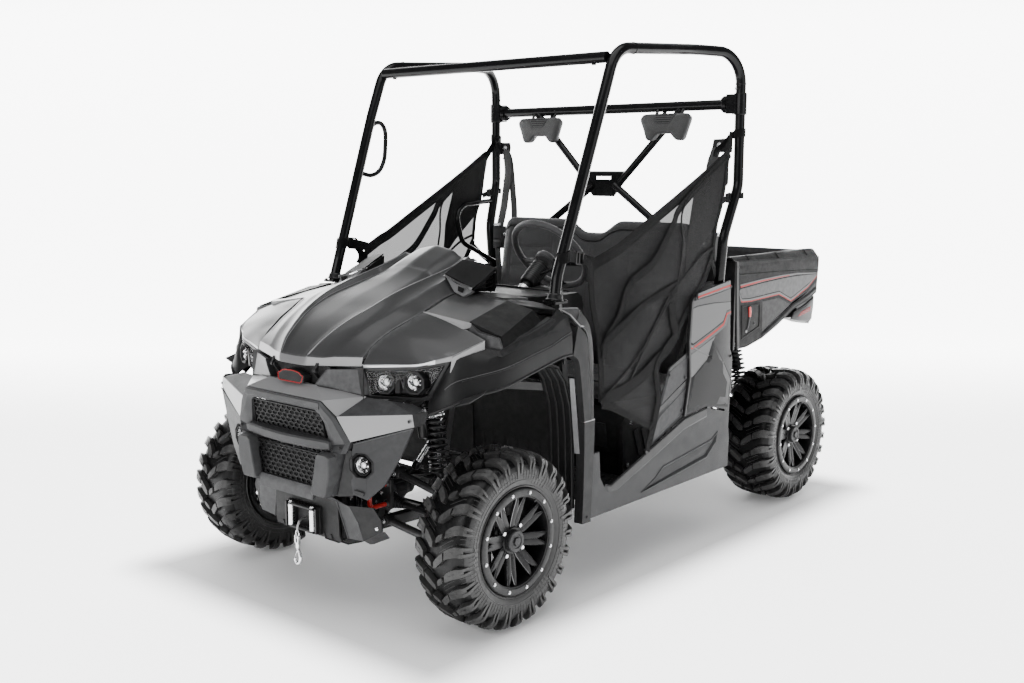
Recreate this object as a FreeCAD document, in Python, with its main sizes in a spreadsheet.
import FreeCAD, Part
import os, math
import Sketcher

# Side by side utility vehicle, two seats, tipping bed.
# Working frame in this source: x = 0 on the centre plane (+X is the driver's side),
# y = 0 on the front axle, +Y towards the tail, z = 0 on the ground.
# Each sub-part's Placement then carries it to the model frame, whose origin is on the
# ground under the middle of the vehicle.

V = FreeCAD.Vector
Rot = FreeCAD.Rotation
os.makedirs("parts", exist_ok=True)
doc = FreeCAD.newDocument("utility_vehicle")

# ---------------------------------------------------------------- driving dimensions
sheet = doc.addObject("Spreadsheet::Sheet", "dims")
DIMS = [
    ("wheelbase", 2144), ("axle_height", 324), ("origin_shift", 1011.5),
    ("tyre_radius", 324), ("tyre_bead_radius", 178.3),
    ("tyre_width_front", 229), ("tyre_width_rear", 279),
    ("front_ring_plane", 767), ("rear_ring_plane", 716),
    ("rim_ring_radius", 192), ("rim_bead_radius", 178), ("rim_barrel_radius", 166),
    ("hub_bore_radius", 20.1), ("spindle_radius", 20), ("window_count", 8),
    ("kingpin_x", 600), ("ball_joint_offset", 92), ("steer_arm_length", 85), ("steer_arm_rise", 32),
    ("cage_tube_radius", 22.25), ("brace_tube_radius", 17), ("grab_tube_radius", 8),
    ("frame_tube", 40), ("frame_rail_x", 255), ("frame_rail_height", 300),
    ("floor_level", 332), ("floor_sheet", 6), ("floor_half_width", 640),
    ("rocker_outer", 722),
    ("bed_length", 750), ("bed_half_width", 640), ("bed_floor_height", 925),
    ("bed_wall", 14), ("bed_depth", 305), ("bed_front", 1560),
    ("bed_pivot_y", 2230), ("bed_pivot_height", 860), ("bed_pivot_radius", 15),
    ("tailgate_sheet", 26), ("tailgate_height", 285), ("tailgate_half_width", 618),
    ("tailgate_pin_radius", 8),
    ("hood_sheet", 4), ("hood_pivot_y", -370), ("hood_pivot_height", 912), ("hood_pin_radius", 5),
    ("seat_half_width", 555),
    ("steering_wheel_radius", 165), ("steering_wheel_grip", 14), ("steering_tilt", 38),
    ("column_radius", 19), ("rack_radius", 16), ("tie_rod_radius", 8),
    ("engine_length", 520), ("engine_width", 420), ("engine_height", 400),
    ("radiator_width", 460), ("radiator_height", 340), ("radiator_depth", 45),
    ("receiver_outer", 63.5), ("receiver_inner", 51), ("receiver_length", 187),
    ("receiver_pin_radius", 8), ("receiver_height", 485),
    ("spring_radius", 42), ("damper_radius", 24),
    ("muffler_radius", 75), ("muffler_length", 420),
]
for i, (alias, value) in enumerate(DIMS, start=1):
    sheet.set("A%d" % i, alias.replace("_", " "))
    sheet.set("B%d" % i, str(value))
    sheet.setAlias("B%d" % i, alias)
doc.recompute()


def dim(alias):
    return float(sheet.get(alias))


SHIFT = V(0, -dim("origin_shift"), 0)
AX = dim("axle_height")
WB = dim("wheelbase")
parts = {}          # label -> object written as a STEP file


def keep(obj, label):
    obj.Label = label
    parts[label] = obj
    return obj


def feature(label, shape):
    """A free-form sub-part: its shape is in the working frame, its Placement brings it to the model frame."""
    obj = doc.addObject("Part::Feature", "F_" + label)
    if shape.ShapeType == "Compound" and len(shape.Solids) == 1:
        shape = shape.Solids[0]
    obj.Shape = shape
    obj.Placement = FreeCAD.Placement(SHIFT, Rot())
    return keep(obj, label)


def mirror(shape):
    return shape.mirror(V(0, 0, 0), V(1, 0, 0))


def both(shape):
    """The left piece and its right twin as one compound of separate solids."""
    return Part.makeCompound([shape, mirror(shape)])


def poly(points):
    pts = [V(*p) for p in points]
    return Part.makePolygon(pts + [pts[0]])


def prism(points, vec):
    """Closed outline given as 3-D points, extruded by a vector."""
    return Part.Face(poly(points)).extrude(V(*vec))


def slab_x(points_yz, x0, x1):
    return prism([(x0, y, z) for y, z in points_yz], (x1 - x0, 0, 0))


def loft(sections, ruled=True):
    sh = Part.makeLoft([poly(s) for s in sections], True, ruled)
    if sh.isValid() and sh.Volume > 0:
        return sh
    # the same skin as flat facets, where the ruled one does not close
    faces = []
    for a, b in zip(sections, sections[1:]):
        k = len(a)
        for i in range(k):
            j = (i + 1) % k
            for tri in ((a[i], a[j], b[j]), (a[i], b[j], b[i])):
                p = [V(*q) for q in tri]
                if p[1].sub(p[0]).cross(p[2].sub(p[0])).Length > 1e-6:
                    faces.append(Part.Face(Part.makePolygon(p + [p[0]])))
    for cap in (sections[0], sections[-1]):
        c = [V(*q) for q in cap]
        n = len(c)
        # across the strip, because a folded outline is not convex
        if n % 2 == 0:
            tris = [t for i in range(n // 2 - 1) for t in ((i, i + 1, n - 2 - i), (i, n - 2 - i, n - 1 - i))]
        else:
            tris = [(0, i, i + 1) for i in range(1, n - 1)]
        for i, j, k in tris:
            if c[j].sub(c[i]).cross(c[k].sub(c[i])).Length > 1e-6:
                faces.append(Part.Face(Part.makePolygon([c[i], c[j], c[k], c[i]])))
    shell = Part.makeShell(faces)
    shell.sewShape()
    solid = Part.Solid(shell)
    if solid.Volume < 0:
        solid.reverse()
    print("facetted loft", sections[0][0], solid.isValid(), solid.Volume)
    return solid


def beam(p, q, w, d=None, up=(0, 0, 1)):
    """Box-section member from p to q, w across and d along the up side."""
    p, q = V(*p), V(*q)
    d = d or w
    ax = q.sub(p)
    ln = ax.Length
    ax.normalize()
    up = V(*up)
    if abs(ax.dot(up)) > 0.95:
        up = V(0, 1, 0)
    side = ax.cross(up)
    side.normalize()
    top = side.cross(ax)
    pts = []
    for a, b in ((-1, -1), (1, -1), (1, 1), (-1, 1)):
        pts.append(p.add(V(side).multiply(a * w / 2.0)).add(V(top).multiply(b * d / 2.0)))
    face = Part.Face(Part.makePolygon(pts + [pts[0]]))
    return face.extrude(V(ax).multiply(ln))


def rod(p, q, r):
    p, q = V(*p), V(*q)
    d = q.sub(p)
    return Part.makeCylinder(r, d.Length, p, d)


def arc_path(points, radius):
    """Straight runs joined by tangent arcs; radius is one number or one per inner point."""
    pts = [V(*p) for p in points]
    n = len(pts)
    edges = []
    start = pts[0]
    for i in range(1, n - 1):
        a, b, c = pts[i - 1], pts[i], pts[i + 1]
        r = radius[i - 1] if isinstance(radius, (list, tuple)) else radius
        u = a.sub(b)
        w = c.sub(b)
        u.normalize()
        w.normalize()
        half = math.acos(max(-1.0, min(1.0, u.dot(w)))) / 2.0
        t = r / math.tan(half)
        t1 = b.add(V(u).multiply(t))
        t2 = b.add(V(w).multiply(t))
        bis = u.add(w)
        bis.normalize()
        mid = b.add(bis.multiply(r / math.sin(half) - r))
        edges.append(Part.LineSegment(start, t1).toShape())
        edges.append(Part.Arc(t1, mid, t2).toShape())
        start = t2
    edges.append(Part.LineSegment(start, pts[-1]).toShape())
    return Part.Wire(edges)


def tube(points, radius, r):
    """Bent tube, closed ends, as one swept solid."""
    wire = arc_path(points, radius)
    p0, p1 = V(*points[0]), V(*points[1])
    circ = Part.Wire([Part.makeCircle(r, p0, p1.sub(p0))])
    return wire.makePipeShell([circ], True, True)


def fuse(shapes):
    base = shapes[0]
    if len(shapes) > 1:
        base = base.multiFuse(shapes[1:])
    return base


def one(shape):
    """The single solid of a fused shape."""
    if len(shape.Solids) == 1:
        return shape.Solids[0]
    return shape


# ---------------------------------------------------------------- PartDesign helpers
def plane_of(body, role):
    for f in body.Origin.OriginFeatures:
        if f.Role == role:
            return f
    raise ValueError(role)


def new_body(label, placement):
    body = doc.addObject("PartDesign::Body", "B_" + label)
    keep(body, label)
    body.Placement = placement
    return body


def new_sketch(body, role, name, offset=None):
    sk = body.newObject("Sketcher::SketchObject", name)
    sk.AttachmentSupport = [(plane_of(body, role), "")]
    sk.MapMode = "FlatFace"
    if offset is not None:
        sk.AttachmentOffset = FreeCAD.Placement(V(*offset), Rot())
    return sk


def sketch_poly(sk, pts):
    n = len(pts)
    first = sk.GeometryCount
    for i in range(n):
        a, b = pts[i], pts[(i + 1) % n]
        sk.addGeometry(Part.LineSegment(V(a[0], a[1], 0), V(b[0], b[1], 0)), False)
    for i in range(n):
        sk.addConstraint(Sketcher.Constraint("Coincident", first + i, 2, first + (i + 1) % n, 1))
    return first


def sketch_rect(sk, x0, y0, x1, y1):
    """Rectangle tied to the sketch origin; returns the ids of its four named distances."""
    g = sketch_poly(sk, [(x0, y0), (x1, y0), (x1, y1), (x0, y1)])
    for k, kind in ((0, "Horizontal"), (1, "Vertical"), (2, "Horizontal"), (3, "Vertical")):
        sk.addConstraint(Sketcher.Constraint(kind, g + k))
    ids = []
    ids.append(sk.addConstraint(Sketcher.Constraint("DistanceX", -1, 1, g, 1, x0)))
    ids.append(sk.addConstraint(Sketcher.Constraint("DistanceX", -1, 1, g + 1, 2, x1)))
    ids.append(sk.addConstraint(Sketcher.Constraint("DistanceY", -1, 1, g, 1, y0)))
    ids.append(sk.addConstraint(Sketcher.Constraint("DistanceY", -1, 1, g + 1, 2, y1)))
    return ids


def bind(obj, prop, expr):
    obj.setExpression(prop, expr)


# ================================================================= WHEELS
def make_tyre(label, centre, outward, width_alias):
    """Casing turned about the local Z axis; local Z points out of the vehicle."""
    w = dim(width_alias)
    hw = w / 2.0
    ro, rb = dim("tyre_radius"), dim("tyre_bead_radius")
    rot = Rot(V(0, 0, 1), V(outward, 0, 0))
    body = new_body(label, FreeCAD.Placement(V(*centre).add(SHIFT), rot))
    sk = new_sketch(body, "XZ_Plane", "casing_" + label)
    prof = [(rb, -hw + 20), (rb + 16, -hw + 17), (rb + 62, -hw), (ro - 52, -hw + 1), (ro - 22, -hw + 10),
            (ro - 5, -hw + 26), (ro, -hw + 50), (ro, hw - 50), (ro - 5, hw - 26), (ro - 22, hw - 10),
            (ro - 52, hw - 1), (rb + 62, hw), (rb + 16, hw - 17), (rb, hw - 20), (rb, hw - 40),
            (rb + 40, hw - 22), (ro - 60, hw - 18), (ro - 22, hw - 52), (ro - 22, -hw + 52),
            (ro - 60, -hw + 18), (rb + 40, -hw + 22), (rb, -hw + 40)]
    g = sketch_poly(sk, prof)
    c = sk.addConstraint(Sketcher.Constraint("DistanceX", -1, 1, g + 6, 2, ro))
    sk.addConstraint(Sketcher.Constraint("Vertical", g + 6))
    bind(sk, "Constraints[%d]" % c, "dims.tyre_radius")
    rev = body.newObject("PartDesign::Revolution", "turn_" + label)
    rev.Profile = sk
    rev.ReferenceAxis = (sk, ["V_Axis"])
    rev.Angle = 360
    body.Tip = rev
    return body


def make_rim(label, ring_centre, outward, width_alias):
    """Barrel, bead ring, hub disc with eight windows. Local Z = outward, z = 0 at the ring face."""
    w = dim(width_alias)
    rr, rb, ri = dim("rim_ring_radius"), dim("rim_bead_radius"), dim("rim_barrel_radius")
    bore = dim("hub_bore_radius")
    rot = Rot(V(0, 0, 1), V(outward, 0, 0))
    body = new_body(label, FreeCAD.Placement(V(*ring_centre).add(SHIFT), rot))
    # tyre centre lies w/2 + ring thickness inboard of the ring face
    top = 0.0
    deep = -(w - 10.0)
    sk = new_sketch(body, "XZ_Plane", "barrel_" + label)
    # outer ring and barrel, then the disc that carries the hub boss, as one profile
    prof = [(bore, -95), (bore, -28), (44, -28), (60, -40), (100, -40), (ri - 4, -22), (ri - 4, -2), (ri, top), (rr, top),
            (rr, -9), (rb, -10), (rb, deep + 9), (rr, deep + 8), (rr, deep), (rb - 8, deep), (ri, deep + 14),
            (ri, -48), (100, -58), (62, -58), (50, -95)]
    sketch_poly(sk, prof)
    rev = body.newObject("PartDesign::Revolution", "turn_" + label)
    rev.Profile = sk
    rev.ReferenceAxis = (sk, ["V_Axis"])
    rev.Angle = 360
    body.Tip = rev
    doc.recompute()
    before = body.Shape.Volume
    ws = new_sketch(body, "XY_Plane", "window_" + label)
    # one wedge shaped window between two spoke pairs
    a = math.radians(10.5)
    pts = [(80 * math.cos(a * 0.75), -80 * math.sin(a * 0.75)), (152 * math.cos(a * 1.35), -152 * math.sin(a * 1.35)),
           (152 * math.cos(a * 1.35), 152 * math.sin(a * 1.35)), (80 * math.cos(a * 0.75), 80 * math.sin(a * 0.75))]
    sketch_poly(ws, pts)
    cut = body.newObject("PartDesign::Pocket", "window_cut_" + label)
    cut.Profile = ws
    cut.Type = "Length"
    cut.Length = 100
    cut.Reversed = False
    body.Tip = cut
    doc.recompute()
    if body.Shape.Volume > before - 100:
        cut.Reversed = True
        doc.recompute()
    pat = body.newObject("PartDesign::PolarPattern", "windows_" + label)
    pat.Originals = [cut]
    pat.Axis = (sk, ["V_Axis"])
    pat.Angle = 360
    bind(pat, "Occurrences", "dims.window_count")
    body.Tip = pat
    doc.recompute()
    assert body.Shape.Volume < before - 1000, label
    return body


FRP, RRP = dim("front_ring_plane"), dim("rear_ring_plane")
WF, WR = dim("tyre_width_front"), dim("tyre_width_rear")
for side, sx in (("left", 1), ("right", -1)):
    make_tyre("tyre_front_" + side, (sx * (FRP + 5 - WF / 2.0), 0, AX), sx, "tyre_width_front")
    make_rim("rim_front_" + side, (sx * FRP, 0, AX), sx, "tyre_width_front")
    make_tyre("tyre_rear_" + side, (sx * (RRP + 5 - WR / 2.0), WB, AX), sx, "tyre_width_rear")
    make_rim("rim_rear_" + side, (sx * RRP, WB, AX), sx, "tyre_width_rear")

# ================================================================= KNUCKLES
KX = dim("kingpin_x")
BJ = dim("ball_joint_offset")
SA = dim("steer_arm_length")
SR = dim("spindle_radius")


def knuckle():
    spindle = rod((KX, 0, AX), (FRP - 30, 0, AX), SR)
    post = loft([[(KX - 20, -24, z0), (KX + 22, -24, z0), (KX + 22, 24, z0), (KX - 20, 24, z0)]
                 for z0 in (AX - BJ + 14, AX + BJ - 14)])
    flange = rod((KX + 18, 0, AX), (KX + 40, 0, AX), 46)
    az = AX + dim("steer_arm_rise")
    arm = loft([[(KX - 14, 10, az - 8), (KX + 14, 10, az - 8), (KX + 14, 10, az + 8), (KX - 14, 10, az + 8)],
                [(KX - 12, SA + 14, az - 8), (KX + 12, SA + 14, az - 8), (KX + 12, SA + 14, az + 8), (KX - 12, SA + 14, az + 8)]])
    studs = [rod((KX, 0, AX - BJ - 9), (KX, 0, AX + BJ + 9), 7)]
    calliper = prism([(KX + 2, -78, AX + 6), (KX + 40, -78, AX + 6), (KX + 40, -30, AX + 6), (KX + 2, -30, AX + 6)], (0, 0, 44))
    link = beam((KX + 16, -20, AX + 28), (KX + 16, -44, AX + 28), 20, 30)
    return one(fuse([post, spindle, flange, arm, calliper, link] + studs))


kn = knuckle()
feature("knuckle_left", kn)
feature("knuckle_right", mirror(kn))

# ================================================================= SUSPENSION
def a_arm(y0, ball, pivots, r_tube, yj):
    """Two bent legs from the frame pivots to one end boss."""
    bx, by, bz = ball
    legs = []
    for (px, py, pz) in pivots:
        s = 1 if py > by else -1
        legs.append(beam((px, py, pz), (bx - 95, by + s * yj, bz), 26, 26))
        legs.append(beam((bx - 100, by + s * yj * 0.98, bz), (bx - 10, by + s * 6, bz), 24, 20))
    legs.append(rod((bx, by, bz - 10), (bx, by, bz + 10), 20))
    for (px, py, pz) in pivots:
        legs.append(rod((px, py - 26, pz), (px, py + 26, pz), 20))
    px, py, pz = pivots[1]
    k = (bx - 210 - px) / (bx - 95.0 - px)
    ty, tz = abs(py - by) + k * (yj - abs(py - by)), pz + k * (bz - pz)
    legs.append(beam((bx - 210, by - ty, tz), (bx - 210, by + ty, tz), 22, 16))
    return one(one(fuse(legs)).cut(rod((bx, by, bz - 20), (bx, by, bz + 20), 7.2)))


lower_f = a_arm(0, (KX, 0, AX - BJ), [(215, -120, 322), (215, 120, 322)], 13, 44)
upper_f = a_arm(0, (KX, 0, AX + BJ), [(250, -95, 505), (250, 95, 505)], 12, 40)

RX = 575.0      # rear hub carrier
carrier = fuse([loft([[(RX - 25, WB - 30, z0), (RX + 15, WB - 30, z0), (RX + 15, WB + 30, z0), (RX - 25, WB + 30, z0)]
                      for z0 in (AX - 110, AX + 110)]),
                rod((RX, WB, AX), (RRP - 30, WB, AX), SR),
                rod((RX + 10, WB, AX), (RX + 22, WB, AX), 46)])
lower_r = fuse([beam((200, WB - 150, 330), (RX - 40, WB - 30, AX - 92), 28, 26),
                beam((200, WB + 150, 330), (RX - 40, WB + 30, AX - 92), 28, 26),
                beam((RX - 60, WB, AX - 92), (RX - 20, WB, AX - 92), 90, 26)])
upper_r = fuse([beam((260, WB - 110, 500), (RX - 40, WB - 26, AX + 92), 24, 24),
                beam((260, WB + 110, 500), (RX - 40, WB + 26, AX + 92), 24, 24),
                beam((RX - 60, WB, AX + 92), (RX - 20, WB, AX + 92), 76, 24),
                beam((398, WB - 72, 461), (398, WB + 72, 461), 26, 18)])
rear_side = one(fuse([carrier, lower_r, upper_r]))
feature("suspension_arms", Part.makeCompound([lower_f, upper_f, mirror(lower_f), mirror(upper_f), rear_side, mirror(rear_side)]))


def shock(top, bottom):
    t, b = V(*top), V(*bottom)
    ax = b.sub(t)
    ln = ax.Length
    ax.normalize()
    at = lambda k: t.add(V(ax).multiply(k))
    body = Part.makeCylinder(dim("damper_radius"), ln * 0.42, at(18), ax)
    spring = Part.makeCylinder(dim("spring_radius"), ln * 0.56, at(ln * 0.20), ax)
    rodd = Part.makeCylinder(9, ln - 26, at(14), ax)
    eye1 = rod((top[0], top[1] - 20, top[2]), (top[0], top[1] + 20, top[2]), 20)
    eye2 = rod((bottom[0], bottom[1] - 20, bottom[2]), (bottom[0], bottom[1] + 20, bottom[2]), 18)
    return one(fuse([body, spring, rodd, eye1, eye2]))


sf = shock((322, 0, 790), (390, 0, 478))
sr = shock((318, WB, 800), (398, WB, 494))
feature("shocks", Part.makeCompound([sf, mirror(sf), sr, mirror(sr)]))

# drive line: front and rear gear cases with their half shafts and boots
def half_shaft(x0, x1, y, z0, z1):
    a, b = V(x0, y, z0), V(x1, y, z1)
    d = b.sub(a)
    d.normalize()
    ln = b.sub(a).Length
    s = [Part.makeCylinder(13, ln, a, d),
         Part.makeCone(40, 20, 70, a, d),
         Part.makeCone(20, 36, 66, b.sub(V(d).multiply(66)), d)]
    return fuse(s)


case_f = Part.makeCylinder(78, 150, V(-75, 0, 352), V(1, 0, 0)).fuse(Part.makeCylinder(46, 150, V(0, 20, 352), V(0, 1, 0)))
hs_f = half_shaft(75, 545, 0, 352, AX)
front_line = one(fuse([case_f, hs_f, mirror(hs_f)]))
case_r = Part.makeCylinder(105, 230, V(-115, WB, 400), V(1, 0, 0))
hs_r = half_shaft(115, 538, WB, 400, AX)
neck = rod((0, 1992, 400), (0, WB - 90, 400), 62)
rear_line = one(fuse([case_r, neck, hs_r, mirror(hs_r)]))
prop = rod((0, 160, 352), (0, 1528, 372), 14)
feature("drive_line", Part.makeCompound([one(fuse([front_line, prop])), rear_line]))

# ================================================================= FRAME
FT = dim("frame_tube")
FX = dim("frame_rail_x")
FZ = dim("frame_rail_height")


def ladder_shape():
    """Lower ladder: two rails, the crossmembers and the outriggers that carry the sills."""
    m = []
    for s in (1, -1):
        m.append(beam((s * FX * 0.62, -300, FZ), (s * FX * 0.8, 330, FZ), FT))
        m.append(beam((s * FX * 0.8, 310, FZ), (s * FX, 420, FZ), FT))
        m.append(beam((s * FX, 400, FZ), (s * FX, 1640, FZ), FT))
        m.append(beam((s * FX, 1620, FZ), (s * 175, 2310, FZ), FT))
        m.append(beam((s * FX, 480, FZ), (s * 612, 480, 314), 30))
        m.append(beam((s * FX, 1480, FZ), (s * 612, 1480, 314), 30))
    for (y, x, z, w) in ((-292, 175, FZ, 30), (-150, 215, FZ + 12, 30), (150, 200, FZ - 8, 26), (480, FX, FZ, 30),
                         (980, FX, FZ, 30), (1480, FX, FZ, 30), (2285, 190, FZ, 34)):
        m.append(beam((-x, y, z), (x, y, z), w))
    return one(fuse(m))


def frame_shape():
    """Upper frame: bulkhead and pillar uprights, seat risers, bed uprights and their ties."""
    m = []
    for s in (1, -1):
        # front bulkhead uprights and upper rails
        m.append(beam((s * 200, -150, FZ + 10), (s * 230, -150, 800), 30))
        m.append(beam((s * 200, 150, FZ + 10), (s * 300, 150, 820), 30))
        m.append(beam((s * 230, -165, 800), (s * 300, 165, 820), 30))
        m.append(beam((s * 300, 150, 820), (s * 560, 400, 800), 30))
        m.append(beam((s * 158, -292, FZ), (s * 160, -292, 700), 30))
        m.append(beam((s * 160, -292, 690), (s * 230, -150, 790), 30))
        # pillar behind the fender, which carries the cage foot
        m.append(beam((s * 604, 474, 318), (s * 604, 430, 900), 30))
        m.append(beam((s * 604, 432, 890), (s * 626, 372, 1127), 30))
        m.append(beam((s * 560, 400, 800), (s * 600, 450, 800), 30))
        # seat riser and hoop foot
        m.append(beam((s * 600, 1480, 316), (s * 600, 1480, 700), 30))
        m.append(beam((s * 600, 1480, 690), (s * 480, 1480, 690), 30))
        # rear uprights that carry the bed, and shock towers
        m.append(beam((s * 250, 1640, FZ + 10), (s * 330, 1640, 905), 30))
        m.append(beam((s * 330, 1625, 902), (s * 330, 2190, 902), 30))
        m.append(beam((s * 330, WB - 14, 822), (s * 330, WB - 14, 890), 14, 40))
        m.append(beam((s * 190, 2270, FZ + 10), (s * 330, 2180, 890), 30))
        m.append(beam((s * 330, 1640, 900), (s * 590, 1490, 700), 26))
    m.append(beam((-240, -150, 790), (240, -150, 790), 26))
    m.append(beam((-310, 150, 812), (310, 150, 812), 26))
    m.append(beam((-160, -292, 690), (160, -292, 690), 26))
    m.append(beam((-600, 440, 800), (600, 440, 800), 26))
    m.append(beam((-330, 1640, 900), (330, 1640, 900), 26))
    m.append(beam((-600, 1480, 690), (600, 1480, 690), 26))
    m.append(beam((-240, 2262, dim("receiver_height")), (240, 2262, dim("receiver_height")), 26))
    # bed pivot shaft on its two ears
    for s in (1, -1):
        m.append(slab_x([(2150, 888), (2150, 917), (2188, 917), (2254, 880), (2254, 838), (2212, 838)], s * 322, s * 338))
    m.append(rod((-372, dim("bed_pivot_y"), dim("bed_pivot_height")), (372, dim("bed_pivot_y"), dim("bed_pivot_height")),
                 dim("bed_pivot_radius")))
    return one(fuse(m))


feature("frame_rails", ladder_shape())
feature("main_frame", frame_shape())

# ================================================================= CAGE
CR = dim("cage_tube_radius")


def side_hoop_path(r):
    pts = [(631, 351, 1132), (624, 375, 1225), (646, 601, 1850), (648, 690, 2078), (650, 1250, 2112),
           (712, 1512, 2112), (712, 1512, 1545), (690, 1440, 1330), (640, 1440, 715)]
    return tube(pts, [120, 400, 130, 600, 150, 160, 200], r)


hoop = side_hoop_path(CR)
foot = prism([(600, 320, 1128), (662, 320, 1128), (662, 392, 1128), (600, 392, 1128)], (0, 0, 10))
plate = prism([(592, 1405, 705), (690, 1405, 705), (690, 1495, 705), (592, 1495, 705)], (0, 0, 10))
hoop = one(fuse([hoop, foot, plate]))
feature("cage_hoops", both(hoop))

front_bar = rod((-624, 670, 2044), (624, 670, 2044), CR)
BR = dim("brace_tube_radius")


def rear_brace():
    m = [rod((-680, 1509, 1898), (680, 1509, 1898), CR)]
    for s in (1, -1):
        m.append(rod((s * 635, 1509, 1898), (s * 655, 1509, 1898), 38))
        m.append(rod((s * 420, 1500, 1885), (s * 95, 1490, 1560), BR))
        m.append(rod((s * 60, 1490, 1545), (s * 560, 1480, 1200), BR))
        m.append(rod((s * 560, 1480, 1200), (s * 560, 1480, 708), BR))
        m.append(rod((s * 330, 1509, 1898), (s * 330, 1488, 1850), 10))
        m.append(rod((s * 400, 1509, 1898), (s * 400, 1488, 1850), 10))
    m.append(prism([(-134, 1482, 1600), (134, 1482, 1600), (61, 1482, 1493), (-61, 1482, 1493)], (0, 16, 0)))
    return one(fuse(m))


feature("cage_cross_bars", Part.makeCompound([front_bar, rear_brace()]))

# grab handle on the passenger's front pillar and the bent hip bar behind the seat side
gr = dim("grab_tube_radius")
grab = tube([(-646, 598, 1802), (-650, 690, 1815), (-650, 668, 1640), (-634, 512, 1600)], [26, 45], gr)
hip = tube([(-700, 1465, 1458), (-668, 1230, 1445), (-650, 1150, 1400), (-650, 1190, 1260), (-640, 1420, 1150)],
           [60, 60, 60], 12)
feature("grab_bars", Part.makeCompound([grab, hip]))

# ================================================================= FLOOR TUB
FL = dim("floor_level")


def floor_tub():
    """Floor, toe board and lower firewall as one bent sheet, with the shaft tunnel and the bulkhead under the seat."""
    t = dim("floor_sheet")
    hw = dim("floor_half_width")
    side = [(1452, FL), (500, FL), (470, 440), (462, 765), (468, 765), (476, 441), (504, FL + t), (1452, FL + t)]
    m = slab_x(side, -580, 580)
    for k in (1, -1):
        m = m.fuse(prism([(k * 575, 520, FL), (k * hw, 520, FL), (k * hw, 1452, FL), (k * 575, 1452, FL)], (0, 0, t)))
    m = m.fuse(prism([(-560, 1446, FL + 1), (560, 1446, FL + 1), (560, 1452, FL + 1), (-560, 1452, FL + 1)], (0, 0, 300)))
    m = m.cut(prism([(-100, 440, FL - 10), (100, 440, FL - 10), (100, 1460, FL - 10), (-100, 1460, FL - 10)], (0, 0, 104)))
    out = [(-116, FL - 2), (-94, FL + 98), (94, FL + 98), (116, FL - 2), (108, FL - 2), (88, FL + 91), (-88, FL + 91), (-108, FL - 2)]
    m = m.fuse(prism([(x, 466, z) for x, z in out], (0, 984, 0)))
    return one(m.removeSplitter())


feature("floor_tub", floor_tub())

# ================================================================= ROCKERS and SIDE PANELS
RO = dim("rocker_outer")


def rocker():
    """Sill panel: wedge that deepens towards the rear wheel, with the toe rail inside."""
    out = [(452, 290), (1480, 300), (1502, 767), (1452, 700), (857, 480), (600, 392), (530, 400), (500, 545), (462, 545)]
    skin = slab_x(out, RO - 8, RO)
    rail = slab_x([(470, 296), (1470, 306), (1470, 330), (470, 326)], 642, RO - 8)
    return one(fuse([skin, rail]))


feature("rockers", both(rocker()))


def side_panel():
    """Body side behind the door opening, from the rocker up to the seat shoulder."""
    out = [(1118, 586), (1452, 712), (1502, 779), (1480, 829), (1466, 1140), (1201, 1103), (1150, 900)]
    skin = slab_x(out, RO - 10, RO - 2)
    top = slab_x([(1222, 1088), (1460, 1121), (1460, 1129), (1222, 1096)], 610, RO - 6)
    quarter = slab_x([(872, 492), (1130, 592), (1165, 862), (1008, 806), (935, 646), (915, 600)], RO - 18, RO - 9)
    return one(one(fuse([skin, top, quarter])).cut(prism([(640, 1405, 1080), (704, 1405, 1080), (704, 1478, 1080), (640, 1478, 1080)], (0, 0, 80))))


feature("side_panels", both(side_panel()))

# ================================================================= SEATS
def seat_base():
    hw = dim("seat_half_width")
    return one(fuse([slab_x([(905, 340), (1440, 340), (1440, 600), (930, 622), (895, 560)], -hw, hw)]).cut(
        slab_x([(935, 330), (1400, 330), (1400, 560), (950, 560)], -hw + 30, hw - 30)))


sb = seat_base()
tunnel_gap = prism([(-114, 880, 320), (114, 880, 320), (114, 1450, 320), (-114, 1450, 320)], (0, 0, 114))
feature("seat_base", one(sb.cut(tunnel_gap)))


# bench cushion: a sketch across the side view, padded to both sides
body = new_body("seat_cushion", FreeCAD.Placement(SHIFT, Rot()))
sk = new_sketch(body, "YZ_Plane", "cushion_profile")
sketch_poly(sk, [(900, 640), (1322, 612), (1332, 700), (1312, 735), (1160, 715), (960, 745), (890, 720)])
pad = body.newObject("PartDesign::Pad", "cushion_pad")
pad.Profile = sk
pad.Midplane = True
bind(pad, "Length", "dims.seat_half_width * 2")
body.Tip = pad

body = new_body("seat_back", FreeCAD.Placement(SHIFT, Rot()))
sk = new_sketch(body, "YZ_Plane", "back_profile")
sketch_poly(sk, [(1390, 640), (1426, 640), (1452, 1365), (1440, 1388), (1412, 1390), (1385, 1350), (1325, 900), (1342, 745)])
pad = body.newObject("PartDesign::Pad", "back_pad")
pad.Profile = sk
pad.Midplane = True
bind(pad, "Length", "dims.seat_half_width * 2 + 10")
body.Tip = pad

# head rests, hung from the rear cross tube
rest = loft([[(268, 1434, 1745), (468, 1446, 1745), (468, 1478, 1745), (268, 1470, 1745)],
             [(250, 1434, 1800), (488, 1448, 1800), (488, 1480, 1800), (250, 1474, 1800)],
             [(232, 1436, 1866), (504, 1450, 1866), (504, 1480, 1866), (232, 1474, 1866)]])
feature("head_rests", both(rest))

# ================================================================= STEERING
TILT = math.radians(dim("steering_tilt"))
SWC = V(370, 640, 1280)
SWA = V(0, math.cos(TILT), math.sin(TILT))


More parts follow.
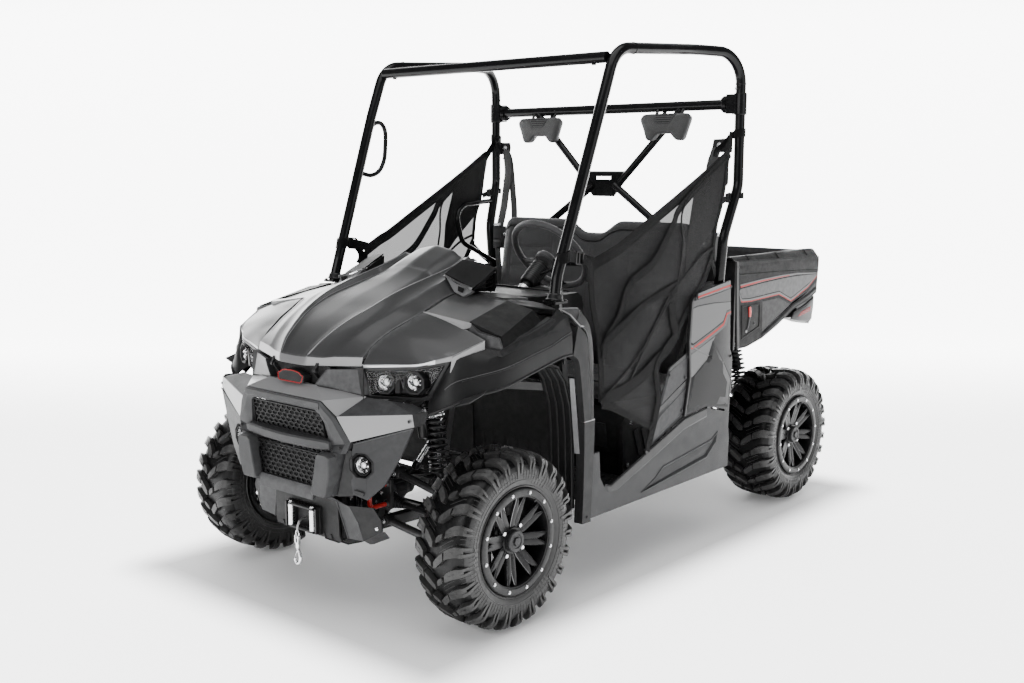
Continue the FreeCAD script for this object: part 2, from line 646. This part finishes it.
def steering_wheel_shape():
    R, r = dim("steering_wheel_radius"), dim("steering_wheel_grip")
    ring = Part.makeTorus(R, r, SWC, SWA)
    hub = Part.makeCylinder(44, 26, SWC.sub(V(SWA).multiply(46)), SWA)
    m = [ring, hub]
    across = V(1, 0, 0)
    up = SWA.cross(across)
    for k in (12, 168, 90):
        d = V(across).multiply(math.cos(math.radians(k))).add(V(up).multiply(math.sin(math.radians(k))))
        p = SWC.sub(V(SWA).multiply(32)).add(V(d).multiply(30))
        q = SWC.sub(V(SWA).multiply(2)).add(V(d).multiply(R))
        m.append(beam((p.x, p.y, p.z), (q.x, q.y, q.z), 26, 8, up=(SWA.x, SWA.y, SWA.z)))
    return one(fuse(m))


feature("steering_wheel", steering_wheel_shape())
c1 = SWC.sub(V(SWA).multiply(250))
column = fuse([Part.makeCylinder(dim("column_radius"), 194, c1, SWA), Part.makeCylinder(36, 110, SWC.sub(V(SWA).multiply(175)), SWA)])
column = column.fuse([rod((c1.x, c1.y + 2, c1.z + 2), (100, 130, 448), 10)])
feature("steering_column", one(column))

TR = dim("tie_rod_radius")
TZ = AX + dim("steer_arm_rise") + 8 + 6 + TR
RZ = 428.0
rack = fuse([rod((-262, SA, RZ), (262, SA, RZ), dim("rack_radius") * 0.75),
             rod((-250, SA, RZ), (-KX + 4, SA, TZ), TR), rod((250, SA, RZ), (KX - 4, SA, TZ), TR),
             rod((-KX, SA, TZ - TR + 1), (-KX, SA, TZ + TR + 4), 13), rod((KX, SA, TZ - TR + 1), (KX, SA, TZ + TR + 4), 13)])
feature("steering_rack", one(rack))

# ================================================================= ENGINE, RADIATOR, EXHAUST
body = new_body("engine_block", FreeCAD.Placement(V(0, 1790, 345).add(SHIFT), Rot()))
sk = new_sketch(body, "XY_Plane", "engine_plan")
ids = sketch_rect(sk, -210, -260, 210, 260)
bind(sk, "Constraints[%d]" % ids[0], "-dims.engine_width / 2")
bind(sk, "Constraints[%d]" % ids[1], "dims.engine_width / 2")
bind(sk, "Constraints[%d]" % ids[2], "-dims.engine_length / 2")
bind(sk, "Constraints[%d]" % ids[3], "dims.engine_length / 2 - 60")
pad = body.newObject("PartDesign::Pad", "engine_pad")
pad.Profile = sk
bind(pad, "Length", "dims.engine_height")
body.Tip = pad
doc.recompute()
ch = body.newObject("PartDesign::Chamfer", "engine_chamfer")
ch.Base = (pad, ["Edge%d" % (i + 1) for i, e in enumerate(pad.Shape.Edges)
                 if abs(e.tangentAt(e.FirstParameter).z) > 0.9])
ch.Size = 30
body.Tip = ch

radiator = doc.addObject("Part::Box", "F_radiator")
bind(radiator, "Length", "dims.radiator_width")
bind(radiator, "Width", "dims.radiator_depth")
bind(radiator, "Height", "dims.radiator_height")
radiator.Placement = FreeCAD.Placement(V(-dim("radiator_width") / 2.0, -236, 350).add(SHIFT), Rot())
keep(radiator, "radiator")

muffler = Part.makeCylinder(dim("muffler_radius"), dim("muffler_length"), V(-210, 2095, 640), V(1, 0, 0))
tail = rod((170, 2100, 640), (170, 2290, 600), 22)
feature("exhaust", one(fuse([muffler, tail])))

# ================================================================= HITCH RECEIVER
ro2 = dim("receiver_outer") / 2.0
ri2 = dim("receiver_inner") / 2.0
outer = doc.addObject("Part::Box", "receiver_outer_box")
bind(outer, "Length", "dims.receiver_outer")
bind(outer, "Width", "dims.receiver_length")
bind(outer, "Height", "dims.receiver_outer")
outer.Placement = FreeCAD.Placement(V(-ro2, 2275, dim("receiver_height") - ro2), Rot())
inner = doc.addObject("Part::Box", "receiver_inner_box")
bind(inner, "Length", "dims.receiver_inner")
bind(inner, "Width", "dims.receiver_length")
bind(inner, "Height", "dims.receiver_inner")
inner.Placement = FreeCAD.Placement(V(-ri2, 2290, dim("receiver_height") - ri2), Rot())
pin = doc.addObject("Part::Cylinder", "receiver_pin_bore")
bind(pin, "Radius", "dims.receiver_pin_radius")
bind(pin, "Height", "dims.receiver_outer + 20")
pin.Placement = FreeCAD.Placement(V(-ro2 - 10, 2440, dim("receiver_height")), Rot(V(0, 1, 0), 90))
cut1 = doc.addObject("Part::Cut", "receiver_socket")
cut1.Base = outer
cut1.Tool = inner
cut2 = doc.addObject("Part::Cut", "F_hitch_receiver")
cut2.Base = cut1
cut2.Tool = pin
cut2.Placement = FreeCAD.Placement(SHIFT, Rot())
keep(cut2, "hitch_receiver")

# ================================================================= FRONT BODY
def hood_shape():
    """Crowned sheet from the nose lip to the dash, with the two long ridges; its side seams meet the fenders."""
    t = dim("hood_sheet")
    # centre, valley, ridge, flank, seam: one row of (x, y, z) for each station
    rows = [
        [(0, -385, 926), (30, -384.5, 926), (61, -383, 926), (180, -344, 931), (296, -305, 937)],
        [(0, -373, 952), (50, -373, 953), (76, -372, 956), (188, -334, 962), (295, -296, 967)],
        [(0, -328, 994), (70, -328, 996), (99, -328, 1003), (200, -300, 998), (295, -263, 996)],
        [(0, -268, 1040), (90, -268, 1041), (119, -268, 1048), (213, -250, 1036), (300, -222, 1024)],
        [(0, -204, 1078), (110, -204, 1078), (141, -204, 1086), (228, -192, 1068), (311, -178, 1050)],
        [(0, -133, 1112), (128, -133, 1110), (161, -133, 1119), (243, -128, 1097), (323, -124, 1075)],
        [(0, -51, 1147), (134, -51, 1144), (169, -51, 1154), (256, -50, 1131), (341, -48, 1108)],
        [(0, 54, 1184), (135, 54, 1176), (172, 54, 1186), (246, 57, 1163), (316, 60, 1138)],
        [(0, 150, 1218), (135, 150, 1203), (176, 150, 1211), (240, 150, 1190), (297, 150, 1155)],
        [(0, 200, 1240), (135, 200, 1216), (178, 200, 1223), (224, 200, 1208), (286, 200, 1162)],
    ]
    tail = [
        [(0, 196, 1239), (135, 196, 1215), (178, 196, 1222), (200, 196, 1219), (216, 196, 1210)],
        [(0, 300, 1287), (135, 300, 1256), (179, 300, 1255), (200, 300, 1254), (216, 300, 1244)],
        [(0, 375, 1318), (120, 375, 1292), (181, 375, 1279), (200, 375, 1275), (216, 375, 1266)],
    ]

    def skin(stations, lip):
        secs = []
        for i, half in enumerate(stations):
            top = [(-x, y, z) for x, y, z in reversed(half[1:])] + list(half)
            dy, dz = (7, -1) if (lip and i == 0) else (7, -6.4) if (lip and i == 1) else (0, -t * 1.6)
            secs.append(top + [(x, y + dy, z + dz) for x, y, z in reversed(top)])
        return loft(secs)

    sheet_ = skin(rows, True).fuse(skin(tail, False))
    # two hinge tabs behind the nose lip
    hy, hz, pr = dim("hood_pivot_y"), dim("hood_pivot_height"), dim("hood_pin_radius")
    tabs = []
    for s in (1, -1):
        tabs.append(rod((s * 119, hy, hz), (s * 131, hy, hz), 9))
        tabs.append(slab_x([(hy - 7, hz), (hy + 7, hz), (hy + 18, 936), (hy + 5, 936)], s * 119, s * 131))
    sh = one(fuse([sheet_] + tabs))
    for s in (1, -1):
        sh = sh.cut(rod((s * 112, hy, hz), (s * 138, hy, hz), pr + 0.1))
    return one(sh)


feature("hood", hood_shape())


def cowl_shape():
    """Cowl behind the hood: two vent humps and the deck under the cage feet."""
    deck = loft([
        [(-262, 232, 1146), (262, 232, 1146), (262, 232, 1138), (-262, 232, 1138)],
        [(-548, 352, 1154), (548, 352, 1154), (548, 352, 1146), (-548, 352, 1146)],
        [(-560, 470, 1160), (560, 470, 1160), (560, 470, 1152), (-560, 470, 1152)]])
    m = [deck]
    for s in (1, -1):
        m.append(loft([[(s * 226, 240, 1140), (s * 300, 240, 1140), (s * 300, 240, 1216), (s * 226, 240, 1250)],
                       [(s * 226, 375, 1150), (s * 365, 321, 1150), (s * 365, 321, 1244), (s * 226, 375, 1270)]]))
    return one(one(fuse(m)).cut(Part.makeCylinder(44, 420, SWC.sub(V(SWA).multiply(420)), SWA)))


feature("cowl", cowl_shape())


def fender_front():
    """Front wing, left: brow, arch lip and the rear post down to the sill."""
    rows = [
        [(303, -302, 943), (400, -267, 948), (500, -231, 956), (545, -228, 890), (560, -240, 792)],
        [(303, -261, 997), (420, -235, 985), (545, -200, 969), (590, -205, 900), (612, -212, 815)],
        [(331, -123, 1076), (470, -140, 1034), (600, -155, 984), (650, -150, 930), (670, -150, 852)],
        [(349, -47, 1109), (500, -43, 1079), (644, -41, 1031), (706, -35, 997), (726, -45, 880)],
        [(317, 98, 1146), (480, 100, 1124), (655, 100, 1085), (735, 100, 1042), (744, 100, 915)],
        [(300, 206, 1162), (480, 228, 1136), (655, 240, 1111), (735, 240, 1062), (746, 240, 942)],
        [(580, 330, 1124), (602, 331, 1121), (680, 335, 1111), (735, 335, 1085), (746, 335, 985)],
    ]
    under = [(0, -5), (0, -5), (-2, -5), (-5, -4), (-5, 0)]
    brow = loft([row + [(x + dx, y, z + dz) for (x, y, z), (dx, dz) in reversed(list(zip(row, under)))] for row in rows])
    post = loft([
        [(690, 316, 1000), (744, 316, 1000), (746, 410, 1085), (700, 410, 1090)],
        [(700, 345, 900), (744, 345, 900), (744, 440, 900), (700, 440, 900)],
        [(694, 392, 640), (740, 392, 640), (740, 458, 640), (694, 458, 640)],
        [(690, 400, 286), (734, 400, 286), (734, 448, 286), (690, 448, 286)]])
    return one(fuse([brow, post]))


ff = fender_front()
feature("front_fenders", both(ff))


def nose():
    """Dark nose recess between the head lamps and the bright band above the bumper."""
    band = loft([[(-329, -306, 838), (329, -306, 838), (300, -290, 816), (-300, -290, 816)],
                 [(-208, -424, 822), (208, -424, 822), (190, -400, 812), (-190, -400, 812)]])
    rec = loft([[(-177, -360, 902), (177, -360, 902), (170, -346, 898), (-170, -346, 898)],
                [(-208, -404, 820), (208, -404, 820), (200, -386, 814), (-200, -386, 814)]])
    hy, hz, pr = dim("hood_pivot_y"), dim("hood_pivot_height"), dim("hood_pin_radius")
    m = [band, rec]
    for s in (1, -1):
        m.append(slab_x([(hy + 16, 880), (hy + 30, 880), (hy + 8, hz + 4), (hy - 6, hz + 4), (hy - 6, hz - 6)], s * 109, s * 115))
        m.append(rod((s * 109, hy, hz), (s * 131, hy, hz), pr))
    return one(fuse(m))


feature("nose_panel", nose())

lamp = loft([[(300, -318, 914), (450, -290, 916), (430, -280, 845), (318, -300, 838)],
             [(300, -258, 914), (450, -230, 916), (430, -220, 845), (318, -240, 838)]])
lamp2 = loft([[(452, -290, 916), (520, -262, 898), (505, -252, 848), (432, -280, 845)],
              [(452, -230, 916), (520, -202, 898), (505, -192, 848), (432, -220, 845)]])
fog = rod((348, -393, 597), (348, -350, 597), 36)
feature("front_lamps", Part.makeCompound([one(lamp), one(fog), mirror(one(lamp)), mirror(one(fog))]))


def bumper():
    """Guard: grille surround, two raised pads and the swept wings with the fog lamp pockets."""
    m = [beam((-215, -424, 790), (215, -424, 790), 40, 34),
         beam((-240, -400, 640), (240, -400, 640), 46, 40),
         beam((-150, -425, 470), (150, -425, 470), 40, 30)]
    for s in (1, -1):
        m.append(loft([[(s * 205, -440, 806), (s * 285, -425, 800), (s * 280, -385, 800), (s * 205, -400, 806)],
                       [(s * 215, -440, 640), (s * 290, -418, 640), (s * 285, -375, 640), (s * 215, -400, 640)],
                       [(s * 150, -440, 470), (s * 245, -418, 475), (s * 240, -375, 475), (s * 150, -400, 470)]]))
        m.append(loft([[(s * 268, -414, 645), (s * 268, -414, 790), (s * 268, -392, 790), (s * 268, -392, 645)],
                       [(s * 551, -305, 700), (s * 551, -305, 770), (s * 545, -290, 770), (s * 545, -290, 700)]]))
        m.append(loft([[(s * 268, -400, 650), (s * 460, -345, 660), (s * 455, -330, 660), (s * 264, -384, 650)],
                       [(s * 228, -400, 484), (s * 375, -345, 500), (s * 370, -330, 500), (s * 224, -384, 484)]]))
    sh = fuse(m)
    for s in (1, -1):
        sh = sh.cut(rod((s * 348, -430, 597), (s * 348, -300, 597), 38))
    return one(sh)


bp = bumper()
feature("front_bumper", bp)


def bumper_lower():
    """Skid plate that folds under the front rails, with its two lower wings."""
    m = [loft([[(-180, -332, 440), (180, -332, 440), (180, -324, 440), (-180, -324, 440)],
               [(-180, -332, 270), (180, -332, 270), (180, -324, 274), (-180, -324, 274)],
               [(-200, -200, 258), (200, -200, 258), (200, -196, 264), (-200, -196, 264)]])]
    for s in (1, -1):
        m.append(loft([[(s * 176, -332, 440), (s * 176, -332, 300), (s * 176, -318, 300), (s * 176, -318, 440)],
                       [(s * 330, -318, 440), (s * 300, -318, 310), (s * 300, -304, 310), (s * 330, -304, 440)],
                       [(s * 372, -290, 425), (s * 372, -290, 345), (s * 366, -280, 345), (s * 366, -280, 425)]]))
    return one(fuse(m))


feature("bumper_lower", bumper_lower())

grille = fuse([prism([(-194, -412, 770), (194, -412, 770), (202, -392, 664), (-202, -392, 664)], (0, 6, 0)),
               ])
g2 = prism([(-196, -398, 616), (196, -398, 616), (140, -412, 488), (-140, -412, 488)], (0, 6, 0))
feature("grille", Part.makeCompound([one(grille), g2]))

winch = fuse([prism([(-95, -345, 380), (95, -345, 380), (95, -345, 300), (-95, -345, 300)], (0, 13, 0)),
              rod((-62, -354, 298), (-62, -354, 384), 11), rod((62, -354, 298), (62, -354, 384), 11),
              rod((-78, -354, 384), (78, -354, 384), 7), rod((-78, -354, 296), (78, -354, 296), 7)])
hook = fuse([rod((0, -377, 330), (0, -377, 250), 12), rod((0, -377, 262), (0, -377, 162), 9)])
feature("winch", one(fuse([winch, one(hook), rod((0, -377, 330), (0, -340, 330), 12)])))

# tow loops stand on plates in front of the foremost uprights, behind the lamp panels
tow = fuse([tube([(276, -172, 484), (276, -262, 484), (276, -262, 408), (276, -172, 408)], [24, 24], 9),
            Part.makeBox(100, 15, 116, V(200, -180, 388))])
feature("tow_hooks", both(one(tow)))

# ================================================================= DASHBOARD
def dashboard():
    m = loft([
        [(-575, 475, 1060), (575, 475, 1060), (575, 475, 1150), (-575, 475, 1150)],
        [(-575, 560, 1010), (575, 560, 1010), (575, 560, 1150), (-575, 560, 1150)],
        [(-575, 600, 1030), (575, 600, 1030), (575, 600, 1100), (-575, 600, 1100)]])
    face = loft([[(-560, 475, 1064), (560, 475, 1064), (560, 505, 1050), (-560, 505, 1050)],
                 [(-560, 462, 770), (560, 462, 770), (560, 474, 770), (-560, 474, 770)]])
    body_ = fuse([m, face])
    body_ = body_.cut(Part.makeCylinder(44, 420, SWC.sub(V(SWA).multiply(420)), SWA))
    return one(body_)


feature("dashboard", dashboard())

# ================================================================= NETS AND BELTS
def net(sx):
    """Stretched side net as a thin closed sheet from the front pillar strap to the rear hoop."""
    t = 4
    pts = [(640, 586, 1262), (655, 640, 1290), (705, 1440, 1700), (700, 1420, 1300), (700, 1180, 1080), (712, 857, 587),
           (716, 820, 600), (718, 526, 718), (715, 470, 740), (672, 540, 1010)]
    # four fanned panels around an inner point keep the sheet's slight saddle
    outer = [V(sx * x, y, z) for x, y, z in pts]
    off = V(sx * t, 0, 0)
    c = V(sx * 700, 900, 1060)
    n = len(outer)
    faces = []
    for i in range(n):
        a, b = outer[i], outer[(i + 1) % n]
        a2, b2, c2 = a.add(off), b.add(off), c.add(off)
        faces.append(Part.Face(Part.makePolygon([a, b, c, a])))
        faces.append(Part.Face(Part.makePolygon([a2, c2, b2, a2])))
        faces.append(Part.Face(Part.makePolygon([a, a2, b2, a])))
        faces.append(Part.Face(Part.makePolygon([a, b2, b, a])))
    sh = Part.Shell(faces)
    so = Part.Solid(sh)
    if so.Volume < 0:
        so.reverse()
    return so


feature("side_nets", Part.makeCompound([net(1), net(-1)]))


def belt(sx):
    """Anchor plate on the rear hoop, shoulder run to its retractor and the second run down behind the seat."""
    def run(points, up):
        pts = [(sx * x, y, z) for x, y, z in points]
        return [beam(a, b, 46, 3, up=up) for a, b in zip(pts, pts[1:])]

    m = run([(618, 1488, 1740), (594, 1476, 1640), (600, 1458, 1490), (630, 1447, 1320)], (0, -1, 0.2))
    m += run([(606, 1488, 1720), (574, 1482, 1640), (547, 1472, 1385), (547, 1456, 1262), (547, 1455, 1100), (547, 1450, 760)], (0, -1, 0.2))
    x0, x1 = sorted((sx * 596, sx * 692))
    m.append(Part.makeBox(x1 - x0, 6, 62, V(x0, 1486, 1690)))
    x0, x1 = sorted((sx * 600, sx * 656))
    m.append(Part.makeBox(x1 - x0, 50, 112, V(x0, 1422, 1212)))
    return one(fuse(m))


feature("seat_belts", Part.makeCompound([belt(1), belt(-1)]))

# ================================================================= CARGO BED
BX, BF, BL = dim("bed_half_width"), dim("bed_front"), dim("bed_length")
BZ, BW, BD = dim("bed_floor_height"), dim("bed_wall"), dim("bed_depth")

# tub: padded plan, pocketed load space open at the rear, lugs for the pivot
body = new_body("cargo_bed", FreeCAD.Placement(V(0, BF, BZ).add(SHIFT), Rot()))
sk = new_sketch(body, "XY_Plane", "bed_plan")
ids = sketch_rect(sk, -BX + 6, 0, BX - 6, BL)
bind(sk, "Constraints[%d]" % ids[0], "-dims.bed_half_width + 6")
bind(sk, "Constraints[%d]" % ids[1], "dims.bed_half_width - 6")
bind(sk, "Constraints[%d]" % ids[3], "dims.bed_length")
pad = body.newObject("PartDesign::Pad", "bed_block")
pad.Profile = sk
bind(pad, "Length", "dims.bed_depth")
body.Tip = pad
doc.recompute()
v0 = body.Shape.Volume
sk = new_sketch(body, "XY_Plane", "load_space", offset=(0, 0, 12))
ids = sketch_rect(sk, -BX + 6 + BW, BW, BX - 6 - BW, BL + 20)
bind(sk, "Constraints[%d]" % ids[0], "-dims.bed_half_width + 6 + dims.bed_wall")
bind(sk, "Constraints[%d]" % ids[1], "dims.bed_half_width - 6 - dims.bed_wall")
bind(sk, "Constraints[%d]" % ids[2], "dims.bed_wall")
bind(sk, "Constraints[%d]" % ids[3], "dims.bed_length + 20")
poc = body.newObject("PartDesign::Pocket", "load_space_cut")
poc.Profile = sk
poc.Type = "Length"
bind(poc, "Length", "dims.bed_depth + 10")
poc.Reversed = True
body.Tip = poc
doc.recompute()
assert body.Shape.Volume < v0 * 0.5, "load space not cut"
for s in (1, -1):
    tag = "left" if s > 0 else "right"
    lug = new_sketch(body, "YZ_Plane", "lug_" + tag, offset=(0, 0, s * 345 if s > 0 else -357))
    py, pz = dim("bed_pivot_y") - BF, dim("bed_pivot_height") - BZ
    sketch_poly(lug, [(py - 40, 0), (py - 24, pz - 24), (py + 24, pz - 24), (py + 40, 0)])
    g = lug.addGeometry(Part.Circle(V(py, pz, 0), V(0, 0, 1), dim("bed_pivot_radius") + 0.1), False)
    cr = lug.addConstraint(Sketcher.Constraint("Radius", g, dim("bed_pivot_radius") + 0.1))
    bind(lug, "Constraints[%d]" % cr, "dims.bed_pivot_radius + 0.1")
    lp = body.newObject("PartDesign::Pad", "lug_pad_" + tag)
    lp.Profile = lug
    lp.Length = 12
    body.Tip = lp
    doc.recompute()


gy, gz = 20.0, -8.0
for s in (1, -1):
    tag = "left" if s > 0 else "right"
    for k, x0 in enumerate((502, 560)):
        lug = new_sketch(body, "YZ_Plane", "gate_lug_%s_%d" % (tag, k), offset=(0, 0, x0 if s > 0 else -x0 - 10))
        sketch_poly(lug, [(BL - 20, -12), (BL + gy + 6, gz - 14), (BL + gy + 14, gz), (BL + gy + 8, gz + 9), (BL, 4), (BL - 20, 4)])
        lp = body.newObject("PartDesign::Pad", "gate_lug_pad_%s_%d" % (tag, k))
        lp.Profile = lug
        lp.Length = 10
        body.Tip = lp
    ps = new_sketch(body, "YZ_Plane", "gate_pin_" + tag, offset=(0, 0, 505 if s > 0 else -567))
    g = ps.addGeometry(Part.Circle(V(BL + gy, gz, 0), V(0, 0, 1), dim("tailgate_pin_radius")), False)
    cr = ps.addConstraint(Sketcher.Constraint("Radius", g, dim("tailgate_pin_radius")))
    bind(ps, "Constraints[%d]" % cr, "dims.tailgate_pin_radius")
    pp = body.newObject("PartDesign::Pad", "gate_pin_pad_" + tag)
    pp.Profile = ps
    pp.Length = 62
    body.Tip = pp
    doc.recompute()


def bed_side():
    """Outer side skin with its slotted top flange, dropping to a point ahead of the wheel."""
    out = [(1568, 1215), (2366, 1192), (2352, 1011), (2120, 950), (1955, 882), (1680, 812), (1590, 810)]
    skin = loft([[(BX + 34, y, z) for y, z in out], [(BX + 44, y, z) for y, z in out]])
    flange = loft([[(BX - 4, y, 1222), (BX - 4, y, 1230), (BX + 8, y, 1230), (BX + 44, y, 1192), (BX + 36, y, 1186)] for y in (1568, 2350)])
    lip = slab_x([(1560, 810), (1574, 810), (1574, 1215), (1560, 1215)], BX - 4, BX + 44)
    pod = loft([[(BX - 56, 2150, 890), (BX + 40, 2150, 905), (BX + 40, 2150, 965), (BX - 2, 2150, 918), (BX - 56, 2150, 918)],
                [(BX - 56, 2310, 858), (BX + 40, 2310, 858), (BX + 40, 2330, 1002), (BX - 2, 2330, 918), (BX - 56, 2330, 918)]])
    return one(fuse([skin, flange, lip, pod]))


feature("bed_sides", both(bed_side()))

# ================================================================= TAILGATE
TH, TT_, TW = dim("tailgate_height"), dim("tailgate_sheet"), dim("tailgate_half_width")
TP = dim("tailgate_pin_radius")
TY, TZ0 = BF + BL + 20, BZ - 8          # hinge line behind the floor's edge


def tailgate():
    y0 = TY - TT_ / 2.0
    gate = slab_x([(y0, TZ0 + 16), (y0 + TT_, TZ0 + 16), (y0 + TT_, TZ0 + TH), (y0 + TT_ - 6, TZ0 + TH + 20), (y0, TZ0 + TH + 20)], -TW, TW)
    for a, b in ((-TW + 90, -60), (60, TW - 90)):
        gate = gate.cut(slab_x([(y0 + TT_ - 8, TZ0 + 76), (y0 + TT_ + 5, TZ0 + 76), (y0 + TT_ + 5, TZ0 + TH - 40), (y0 + TT_ - 8, TZ0 + TH - 40)], a, b))
    m = [gate]
    for k in (1, -1):
        m.append(rod((k * 515, TY, TZ0), (k * 557, TY, TZ0), 14))
        m.append(slab_x([(TY - 12, TZ0), (TY + 12, TZ0), (TY + 12, TZ0 + 20), (TY - 12, TZ0 + 20)], k * 515, k * 557))
    sh = one(fuse(m))
    for k in (1, -1):
        sh = sh.cut(rod((k * 505, TY, TZ0), (k * 567, TY, TZ0), TP + 0.1))
    return one(sh)


feature("tailgate", tailgate())

# ================================================================= CHECK AND WRITE
doc.recompute()
bad = []
for obj in doc.Objects:
    st = set(obj.State)
    if st & {"Invalid", "Error"}:
        bad.append("%s: %s" % (obj.Name, sorted(st)))
for label, obj in parts.items():
    shp = obj.Shape
    if shp.isNull() or not shp.isValid() or not shp.Solids:
        bad.append("%s: null %s valid %s solids %d" % (label, shp.isNull(), (not shp.isNull()) and shp.isValid(), len(shp.Solids)))
if bad:
    raise RuntimeError("model errors:\n" + "\n".join(bad))
box = FreeCAD.BoundBox()
for label, obj in parts.items():
    box.add(obj.Shape.BoundBox)
print("box %.1f %.1f %.1f  %.1f %.1f %.1f" % (box.XMin, box.YMin, box.ZMin, box.XMax, box.YMax, box.ZMax))
print("middle y %.2f" % ((box.YMin + box.YMax) / 2.0))
for label, obj in parts.items():
    obj.Shape.exportStep("parts/%s.step" % label)
    print("%-22s solids %2d  volume %9.1f cm3" % (label, len(obj.Shape.Solids), obj.Shape.Volume / 1000.0))
print("wrote", len(parts), "sub-parts")
